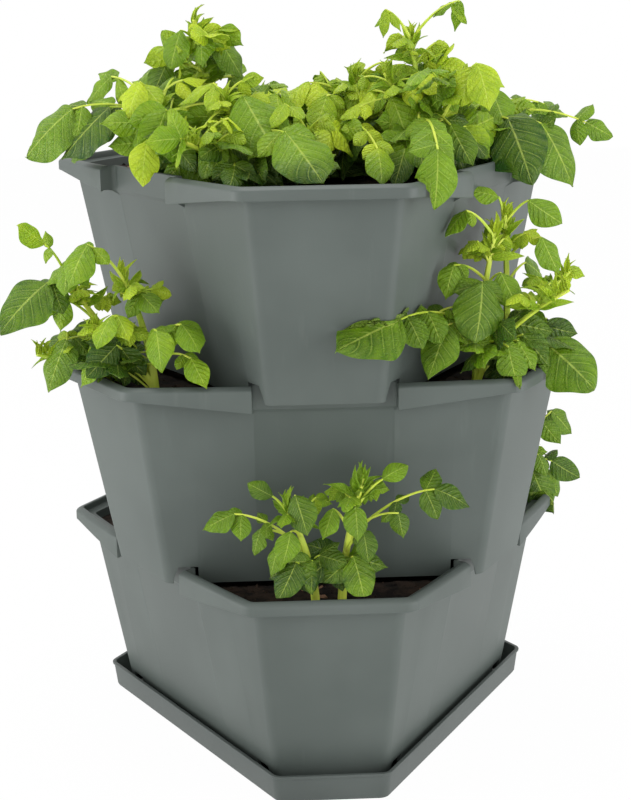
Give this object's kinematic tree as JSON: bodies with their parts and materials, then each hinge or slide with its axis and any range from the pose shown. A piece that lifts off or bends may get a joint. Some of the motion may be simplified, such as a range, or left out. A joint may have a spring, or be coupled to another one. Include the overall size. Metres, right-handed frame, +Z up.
{
  "type": "vertical planter tower",
  "caption": "Stacked three-cornered planting tubs on a saucer, each turned on the one below so that its corners stay open as pockets with leafy shoots.",
  "frame": {"origin": "centre of the saucer's flat underside, on the tower's upright axis", "axes": "+Z up, -Y towards the lowest tub's front corner face, +X to the right seen from the front"},
  "size_m": [0.5586, 0.477, 0.6845],
  "materials": {
    "tub_plastic": "satin",
    "saucer_plastic": "satin",
    "potting_soil": "matte",
    "leaf": "satin"
  },
  "bodies": {
    "saucer": {"saucer": "saucer_plastic"},
    "tier_1": {"lower_tub": "tub_plastic", "lower_soil": "potting_soil", "front_left_shoot": "leaf", "front_right_shoot": "leaf", "back_right_shoot": "leaf"},
    "tier_2": {"middle_tub": "tub_plastic", "middle_soil": "potting_soil", "middle_left_front_shoot": "leaf", "middle_left_outer_shoot": "leaf", "middle_right_front_shoot": "leaf", "middle_right_outer_shoot": "leaf"},
    "tier_3": {"top_tub": "tub_plastic", "top_soil": "potting_soil", "top_left_shoot": "leaf", "top_back_left_shoot": "leaf", "top_front_left_shoot": "leaf", "top_middle_shoot": "leaf", "top_right_shoot": "leaf", "top_far_right_shoot": "leaf"}
  },
  "joints": [
    {"name": "tier_1_lift", "type": "slide", "parent": "saucer", "child": "tier_1", "axis": [0, 0, 1], "range_m": [0, 0.06]},
    {"name": "tier_2_lift", "type": "slide", "parent": "tier_1", "child": "tier_2", "axis": [0, 0, 1], "range_m": [0, 0.25]},
    {"name": "tier_3_lift", "type": "slide", "parent": "tier_2", "child": "tier_3", "axis": [0, 0, 1], "range_m": [0, 0.25]}
  ]
}
